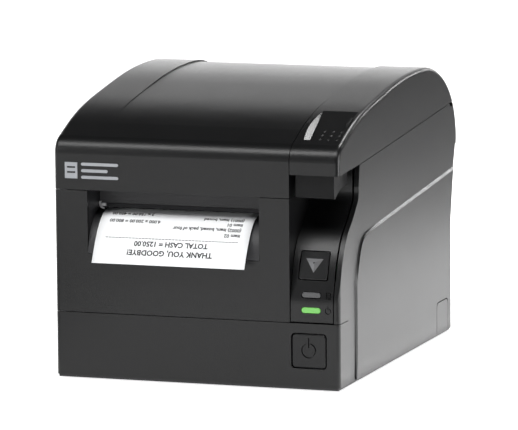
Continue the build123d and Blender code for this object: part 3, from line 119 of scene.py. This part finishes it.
def map_range(tree, source, low, high, to_low, to_high):
    """A clamped linear map of a value, returned as its output socket."""
    node = tree.nodes.new("ShaderNodeMapRange")
    for name, value in (("From Min", low), ("From Max", high), ("To Min", to_low), ("To Max", to_high)):
        node.inputs[name].default_value = value
    tree.links.new(source, node.inputs["Value"])
    return node.outputs["Result"]


def product(tree, first, second):
    """The product of two values, returned as its output socket."""
    node = tree.nodes.new("ShaderNodeMath")
    node.operation = "MULTIPLY"
    tree.links.new(first, node.inputs[0])
    tree.links.new(second, node.inputs[1])
    return node.outputs[0]


def make_world():
    """Studio surroundings: bright low behind on the left, dark elsewhere, and white to the camera."""
    world = bpy.data.worlds.new("studio")
    world.use_nodes = True
    tree = world.node_tree
    tree.nodes.clear()
    coordinates = tree.nodes.new("ShaderNodeTexCoord")
    split = tree.nodes.new("ShaderNodeSeparateXYZ")
    tree.links.new(coordinates.outputs["Generated"], split.inputs[0])
    to_rear = map_range(tree, split.outputs["Y"], *BACKDROP_REAR, 0.0, 1.0)
    to_left = map_range(tree, split.outputs["X"], *BACKDROP_SIDE, 1.0, 0.0)
    near_horizon = map_range(tree, split.outputs["Z"], *BACKDROP_RISE, 1.0, 0.0)
    share = product(tree, product(tree, to_rear, near_horizon), to_left)
    glow = map_range(tree, share, 0.0, 1.0, DARK_STUDIO, BACKDROP)
    path = tree.nodes.new("ShaderNodeLightPath")
    seen = tree.nodes.new("ShaderNodeMix")
    seen.inputs["B"].default_value = 1.0
    background = tree.nodes.new("ShaderNodeBackground")
    output = tree.nodes.new("ShaderNodeOutputWorld")
    tree.links.new(path.outputs["Is Camera Ray"], seen.inputs["Factor"])
    tree.links.new(glow, seen.inputs["A"])
    tree.links.new(seen.outputs["Result"], background.inputs["Strength"])
    tree.links.new(background.outputs[0], output.inputs[0])
    bpy.context.scene.world = world


def flat_card(name, left, right, near, far, height, material):
    """A level rectangle of the studio that isn't part of the printer."""
    corners = [(left, near, height), (right, near, height), (right, far, height), (left, far, height)]
    mesh = bpy.data.meshes.new(name)
    mesh.from_pydata(corners, [], [(0, 1, 2, 3)])
    mesh.materials.append(material)
    card = bpy.data.objects.new(name, mesh)
    bpy.context.scene.collection.objects.link(card)
    return card


def make_floor():
    """A plain white table that runs out of the picture, and four cards on it that only reflections see."""
    white = surface("floor_white", (0.93, 0.93, 0.93), 0.9, grain=0, emission=(1, 1, 1),
                    emission_strength=FLOOR_GLOW)
    black = surface("flag_black", (0.004, 0.004, 0.004), 0.9, grain=0)
    bright = surface("bounce_white", (0.9, 0.9, 0.9), 0.9, grain=0, emission=(1, 1, 1),
                     emission_strength=BOUNCE_GLOW)
    flat_card("floor", -FLOOR_REACH, FLOOR_REACH, -FLOOR_REACH, FLOOR_REACH, 0, white)
    cards = [
        flat_card("side_flag", CARD_EDGE, 3, 0.25, 3, 0.002, black),
        flat_card("corner_flag", CARD_EDGE, 2, -1.2, -0.1, 0.002, black),
        flat_card("arrow_flag", -0.4, -0.13, -0.35, -0.13, 0.002, black),
        flat_card("side_bounce", 0.085, CARD_EDGE - 0.01, -0.06, 0.44, 0.001, bright),
    ]
    for card in cards:
        card.visible_camera = False
        card.visible_shadow = False


def make_lights():
    """The studio's area lights."""
    for light in LIGHTS:
        area_light(*light)


# ------------------------------------------------------------------ materials
TONE_SCALE = 38                # size of the slow tone changes, per metre
GRAIN_SIZE = 0.00045           # width of the fine grain, m
GRAIN_DEPTH = 0.0002           # how deep the bump of the grain can be, m
ROUGHNESS_SPREAD = 0.07


def surface(name, colour, roughness, metallic=0.0, grain=0.012, tone=0.12, coat=0.0, emission=(1, 1, 1),
            emission_strength=0.0, specular=0.5):
    """A moulded or metal surface: fine bump grain, slow tone changes, uneven roughness."""
    material = bpy.data.materials.new(name)
    material.use_nodes = True
    tree = material.node_tree
    shader = tree.nodes["Principled BSDF"]
    shader.inputs["Metallic"].default_value = metallic
    shader.inputs["Coat Weight"].default_value = coat
    shader.inputs["Specular IOR Level"].default_value = specular
    if emission_strength:
        shader.inputs["Emission Color"].default_value = (*emission, 1)
        shader.inputs["Emission Strength"].default_value = emission_strength
    place = tree.nodes.new("ShaderNodeTexCoord")
    slow = tree.nodes.new("ShaderNodeTexNoise")
    slow.inputs["Scale"].default_value = TONE_SCALE
    slow.inputs["Detail"].default_value = 3
    mix = tree.nodes.new("ShaderNodeMix")
    mix.data_type = "RGBA"
    mix.inputs["A"].default_value = (*[part * (1 - tone) for part in colour], 1)
    mix.inputs["B"].default_value = (*[min(1, part * (1 + tone)) for part in colour], 1)
    tree.links.new(place.outputs["Object"], slow.inputs["Vector"])
    tree.links.new(slow.outputs["Fac"], mix.inputs["Factor"])
    tree.links.new(mix.outputs["Result"], shader.inputs["Base Color"])
    rough = map_range(tree, slow.outputs["Fac"], 0.0, 1.0, roughness * (1 - ROUGHNESS_SPREAD),
                      min(1, roughness * (1 + ROUGHNESS_SPREAD)))
    tree.links.new(rough, shader.inputs["Roughness"])
    if grain:
        add_grain(tree, place, shader, grain)
    return material


def add_grain(tree, place, shader, strength):
    """The fine moulding grain of a surface, as a bump."""
    fine = tree.nodes.new("ShaderNodeTexNoise")
    fine.inputs["Scale"].default_value = 1 / GRAIN_SIZE
    fine.inputs["Detail"].default_value = 2
    bump = tree.nodes.new("ShaderNodeBump")
    bump.inputs["Strength"].default_value = strength
    bump.inputs["Distance"].default_value = GRAIN_DEPTH
    tree.links.new(place.outputs["Object"], fine.inputs["Vector"])
    tree.links.new(fine.outputs["Fac"], bump.inputs["Height"])
    tree.links.new(bump.outputs["Normal"], shader.inputs["Normal"])


SHADE_PAINT_START = -52.6 * MM      # painted shade darkens the tear bar to the right of this; only its left end keeps the bright steel colour
SHADE_PAINT_FADE = 0.5 * MM


def paint_shade_past_edge(material, edge, dark):
    """Paints shade into a metal part to the right of an edge on X: its colour goes dark there, so only its
    left end stays bright.
    """
    tree = material.node_tree
    shader = tree.nodes["Principled BSDF"]
    place = tree.nodes.new("ShaderNodeTexCoord")
    split = tree.nodes.new("ShaderNodeSeparateXYZ")
    tree.links.new(place.outputs["Object"], split.inputs[0])
    along = map_range(tree, split.outputs["X"], edge - SHADE_PAINT_FADE, edge + SHADE_PAINT_FADE, 0.0, 1.0)
    blend = tree.nodes.new("ShaderNodeMix")
    blend.data_type = "RGBA"
    blend.inputs["B"].default_value = (*dark, 1)
    tree.links.new(along, blend.inputs["Factor"])
    tree.links.new(shader.inputs["Base Color"].links[0].from_socket, blend.inputs["A"])
    tree.links.new(blend.outputs["Result"], shader.inputs["Base Color"])
    return material


def make_materials():
    """One material for each slot of the record."""
    return {
        "case_plastic": surface("case_plastic_satin", (0.0045, 0.0046, 0.0049), 0.32, grain=0.3,
                                specular=0.36),
        "button_plastic": surface("button_plastic_satin", (0.004, 0.0041, 0.0045), 0.3, grain=0.25,
                                  specular=0.32),
        "silver_print": surface("silver_print_ink", (0.33, 0.34, 0.36), 0.4, metallic=0.5, grain=0.1),
        "clear_lens": surface("clear_lens_grey", (0.03, 0.031, 0.033), 0.25, grain=0.05, coat=0.4),
        "green_lens": surface("green_lens_lit", (0.08, 0.30, 0.05), 0.25, grain=0.05, coat=0.4,
                              emission=(0.16, 0.50, 0.08), emission_strength=0.38),
        "frame_plastic": surface("frame_plastic_matte", (0.016, 0.016, 0.018), 0.5, grain=0.4),
        "steel": surface("steel_brushed", (0.62, 0.62, 0.63), 0.32, metallic=1.0, grain=0.2),
        "spring_steel": surface("spring_steel_bright", (0.5, 0.5, 0.5), 0.25, metallic=1.0, grain=0.05),
        "aluminium": surface("aluminium_satin", (0.75, 0.75, 0.76), 0.4, metallic=1.0, grain=0.2),
        "ceramic": surface("ceramic_glazed", (0.78, 0.74, 0.66), 0.22, grain=0.05),
        "platen_rubber": surface("platen_rubber_black", (0.03, 0.03, 0.032), 0.75, grain=0.4),
        "foot_rubber": surface("foot_rubber_black", (0.012, 0.012, 0.012), 0.8, grain=0.5),
        "gear_plastic": surface("gear_plastic_ivory", (0.78, 0.75, 0.66), 0.45, grain=0.2),
        "motor_case": surface("motor_case_black", (0.03, 0.03, 0.032), 0.4, metallic=0.3, grain=0.2),
        "paper": surface("paper_thermal", (0.86, 0.87, 0.88), 0.55, grain=0.25, tone=0.02),
        "cardboard": surface("cardboard_brown", (0.42, 0.30, 0.18), 0.85, grain=0.5),
        "circuit_board": surface("circuit_board_green", (0.015, 0.13, 0.05), 0.4, grain=0.2, coat=0.3),
        "component_black": surface("component_epoxy", (0.02, 0.02, 0.02), 0.55, grain=0.3),
        "port_shell": surface("port_shell_tin", (0.65, 0.65, 0.66), 0.3, metallic=1.0, grain=0.15),
        "port_black": surface("port_plastic_black", (0.02, 0.02, 0.02), 0.5, grain=0.3),
    }


def dress(node, material):
    """Give one CAD node a material."""
    nodes[node].data.materials.clear()
    nodes[node].data.materials.append(material)


def dress_nodes(materials):
    """Give each CAD node the material of its slot, and the lever and the tear bar their own, with painted
    shade.
    """
    for subpart in frame["record"]["subparts"]:
        dress(subpart["node"], materials[subpart["material_slot"]])
    # Painted shade: the lever's darker colour and lower specular stand in for the shade it sits in under the
    # lid's strip.
    dress("release_lever", surface("lever_plastic_painted_shade", (0.004, 0.0041, 0.0044), 0.4, grain=0.25,
                                   specular=0.16))
    # Painted shade: the tear bar's steel colour is darkened along the slot to stand in for the shade it lies
    # in; only its left end stays bright.
    steel = surface("steel_tear_bar", (0.62, 0.62, 0.63), 0.32, metallic=1.0, grain=0.2)
    dress("tear_bar", paint_shade_past_edge(steel, SHADE_PAINT_START, (0.015, 0.015, 0.016)))


# ------------------------------------------------------------------ the printed slip
FRONT = -94.9                  # front face of the printer, mm
SLIP_LEFT = -51.75
SLIP_RIGHT = 27.75
SLIP_THICK = 0.2
SLIP_BACK = 27.5               # depth and height where the slip leaves the cutter
SLIP_TOP = 84.0
SLIP_CURL = [(17.0, 84.0), (10.2, 82.6), (4.2, 78.2), (-0.9, 71.8), (-4.7, 65.4), (-7.4, 60.0)]
SLIP_STEPS = 8                 # points on each stretch of the curl
SLIP_COLUMNS = 12
END_CLEARANCE = 0.001          # keeps the last row inside the line's last stretch
PRINT_LIFT = 0.06              # how far the ink stands off the paper, so it shows on the curl
INK_MARGIN = 5.0
BOLDNESS = 0.032               # thickening of the strokes, as a share of the text's size
RULE = 13.6                    # the rule's distance from the free end
RULE_WIDTH = 0.35
RULE_DASHES = 40
DASH_SHARE = 0.8
SMALL_TEXT = 2.7
LARGE_TEXT = 3.9
CAPITAL = 0.7                  # height of a capital letter, as a share of the text's size
RECEIPT_ROWS = [
    # words, distance from the free end, size, and which end of the row they keep to
    ("THANK YOU, GOODBYE!", 4.8, LARGE_TEXT, "middle"),
    ("TOTAL CASH = 1250.00", 9.6, LARGE_TEXT * 0.95, "middle"),
    ("item 02", 16.2, SMALL_TEXT, "start"),
    ("(0002) item, boxed, pack of four", 19.4, SMALL_TEXT, "start"),
    ("4.000 x 200.00 = 800.00", 22.6, SMALL_TEXT, "end"),
    ("item 01", 22.6, SMALL_TEXT, "start"),
    ("(0001) item, boxed", 25.8, SMALL_TEXT, "start"),
    ("3 x 150.00 = 450.00", 27.6, SMALL_TEXT, "end"),
]


def curve_value(before, start, end, after, share):
    """A coordinate on a smooth curve through start and end, a share of the way from one to the other."""
    straight = (end - before) * share
    bend = (2 * before - 5 * start + 4 * end - after) * share ** 2
    twist = (3 * start - before - 3 * end + after) * share ** 3
    return 0.5 * (2 * start + straight + bend + twist)


def slip_line():
    """Points of the slip's middle line from its free end to the cutter, as (depth, height) in mm."""
    first, second = SLIP_CURL[:2]
    close, last = SLIP_CURL[-2:]
    knots = [(2 * first[0] - second[0], SLIP_TOP), *SLIP_CURL,
             (2 * last[0] - close[0], 2 * last[1] - close[1])]
    points = []
    for stretch in zip(knots, knots[1:], knots[2:], knots[3:]):
        for step in range(SLIP_STEPS):
            points.append(tuple(curve_value(*axis, step / SLIP_STEPS) for axis in zip(*stretch)))
    points.append(last)
    return points[::-1] + [(SLIP_BACK, SLIP_TOP)]


class Slip:
    """The slip's curved sheet: turns a distance from the free end into a place and an outward direction."""

    def __init__(self):
        self.points = slip_line()
        self.lengths = [0.0]
        for (depth, height), (next_depth, next_height) in zip(self.points, self.points[1:]):
            self.lengths.append(self.lengths[-1] + math.hypot(next_depth - depth, next_height - height))

    def place(self, x, distance, lift):
        """A point at x, this far along from the free end and this far off the middle line, in metres."""
        index = max(i for i, length in enumerate(self.lengths[:-1]) if length <= max(distance, 0.0))
        (depth, height), (next_depth, next_height) = self.points[index], self.points[index + 1]
        run = self.lengths[index + 1] - self.lengths[index]
        part = (distance - self.lengths[index]) / run
        along = ((next_depth - depth) / run, (next_height - height) / run)
        depth += along[0] * run * part - along[1] * lift
        height += along[1] * run * part + along[0] * lift
        return Vector((x * MM, (FRONT + depth) * MM, height * MM))


def new_piece(name, vertices, faces, material, body):
    """A mesh piece of the printer, riding on a body."""
    mesh = bpy.data.meshes.new(name)
    mesh.from_pydata(vertices, [], faces)
    mesh.materials.append(material)
    piece = bpy.data.objects.new(name, mesh)
    bpy.context.scene.collection.objects.link(piece)
    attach(piece, body)
    return piece


def make_slip(slip, paper):
    """The sheet itself, with both faces and its cut edges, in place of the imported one."""
    step = (SLIP_RIGHT - SLIP_LEFT) / SLIP_COLUMNS
    far_end = slip.lengths[-1] - END_CLEARANCE
    vertices = [slip.place(SLIP_LEFT + step * column, min(distance, far_end), lift)
                for lift in (SLIP_THICK / 2, -SLIP_THICK / 2)
                for distance in slip.lengths
                for column in range(SLIP_COLUMNS + 1)]
    wide = SLIP_COLUMNS + 1
    last_row = len(slip.lengths) - 1
    under = wide * (last_row + 1)
    faces = []
    for row in range(last_row):
        for column in range(SLIP_COLUMNS):
            corner = row * wide + column
            faces.append((corner, corner + 1, corner + 1 + wide, corner + wide))
            below = under + corner
            faces.append((below, below + wide, below + 1 + wide, below + 1))
    rim = [*range(SLIP_COLUMNS),
           *[row * wide + SLIP_COLUMNS for row in range(last_row)],
           *[last_row * wide + column for column in range(SLIP_COLUMNS, 0, -1)],
           *[row * wide for row in range(last_row, 0, -1)]]
    for corner, following in zip(rim, rim[1:] + rim[:1]):
        faces.append((corner, corner + under, following + under, following))
    piece = new_piece("receipt_slip", vertices, faces, paper, "housing")
    for face in piece.data.polygons:
        face.use_smooth = face.index < 2 * last_row * SLIP_COLUMNS
    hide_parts("printed_slip")


def text_mesh(words, size, bold):
    """The outline mesh of a line of text, from the built-in font, as (vertices, faces, width)."""
    curve = bpy.data.curves.new("words", "FONT")
    curve.body = words
    curve.size = size
    curve.offset = bold
    curve.resolution_u = 2
    holder = bpy.data.objects.new("words", curve)
    mesh = bpy.data.meshes.new_from_object(holder)
    vertices = [(v.co.x, v.co.y) for v in mesh.vertices]
    faces = [tuple(face.vertices) for face in mesh.polygons]
    bpy.data.objects.remove(holder)
    bpy.data.meshes.remove(mesh)
    bpy.data.curves.remove(curve)
    return vertices, faces, max(x for x, y in vertices)


def make_print(slip, ink):
    """Generic receipt lines, upside down as the slip comes out: made-up prices, and a total near its end."""
    face = SLIP_THICK / 2 + PRINT_LIFT
    rule_left = SLIP_LEFT + INK_MARGIN
    rule_right = SLIP_RIGHT - INK_MARGIN
    vertices = []
    faces = []
    for words, distance, size, side in RECEIPT_ROWS:
        flat, polygons, width = text_mesh(words, size, BOLDNESS * size)
        start = {"start": rule_right, "middle": (SLIP_LEFT + SLIP_RIGHT + width) / 2,
                 "end": rule_left + width}[side]
        base = len(vertices)
        vertices += [slip.place(start - x, distance + size * CAPITAL - y, face) for x, y in flat]
        faces += [tuple(base + index for index in polygon) for polygon in polygons]
    dash = (rule_right - rule_left) / RULE_DASHES
    for step in range(RULE_DASHES):
        left = rule_left + dash * step
        right = left + dash * DASH_SHARE
        corners = ((left, RULE), (right, RULE), (right, RULE + RULE_WIDTH), (left, RULE + RULE_WIDTH))
        base = len(vertices)
        vertices += [slip.place(x, distance, face) for x, distance in corners]
        faces.append((base, base + 1, base + 2, base + 3))
    new_piece("receipt_print", vertices, faces, ink, "housing")


# ------------------------------------------------------------------ the arrow on the feed button
BUTTON_CENTRE = (59.55, 5.6, 61.6)       # x, depth and height of the button's middle, mm
BUTTON_RISE = (0.371, 0.928)             # the button's slope, depth and height
ARROW = [(-4.4, 3.3), (4.4, 3.3), (0, -3.7)]
ARROW_PEAK = (0.0, 1.0)
ARROW_FOOT = 0.3
ARROW_RISE = 1.1
SKIN_LIFT = 0.03


def make_arrow(material):
    """A silver metallic skin over the three facets of the raised arrow: painted sheen, whose bright colour
    stands in for the highlight the plastic arrow catches.
    """
    def on_button(x, up, out):
        depth = BUTTON_CENTRE[1] + up * BUTTON_RISE[0] - out * BUTTON_RISE[1]
        height = BUTTON_CENTRE[2] + up * BUTTON_RISE[1] + out * BUTTON_RISE[0]
        return Vector(((BUTTON_CENTRE[0] + x) * MM, (FRONT + depth) * MM, height * MM))

    vertices = [on_button(x, up, ARROW_FOOT + SKIN_LIFT) for x, up in ARROW]
    vertices.append(on_button(*ARROW_PEAK, ARROW_FOOT + ARROW_RISE + SKIN_LIFT))
    new_piece("feed_arrow_painted_sheen", vertices, [(1, 0, 3), (0, 2, 3), (2, 1, 3)], material,
              "feed_button")


# ------------------------------------------------------------------ scene
bpy.context.scene.view_settings.view_transform = "Standard"
make_camera()
make_world()
make_floor()
make_lights()
materials = make_materials()
dress_nodes(materials)
# Painted sheen: the arrow, really the button's black plastic, gets a bright silver metallic skin so its
# facets catch highlights.
make_arrow(surface("arrow_painted_sheen", (0.30, 0.30, 0.31), 0.35, metallic=0.9, grain=0.05))
slip = Slip()
make_slip(slip, materials["paper"])
make_print(slip, surface("thermal_ink", (0.02, 0.02, 0.022), 0.6, grain=0.05))
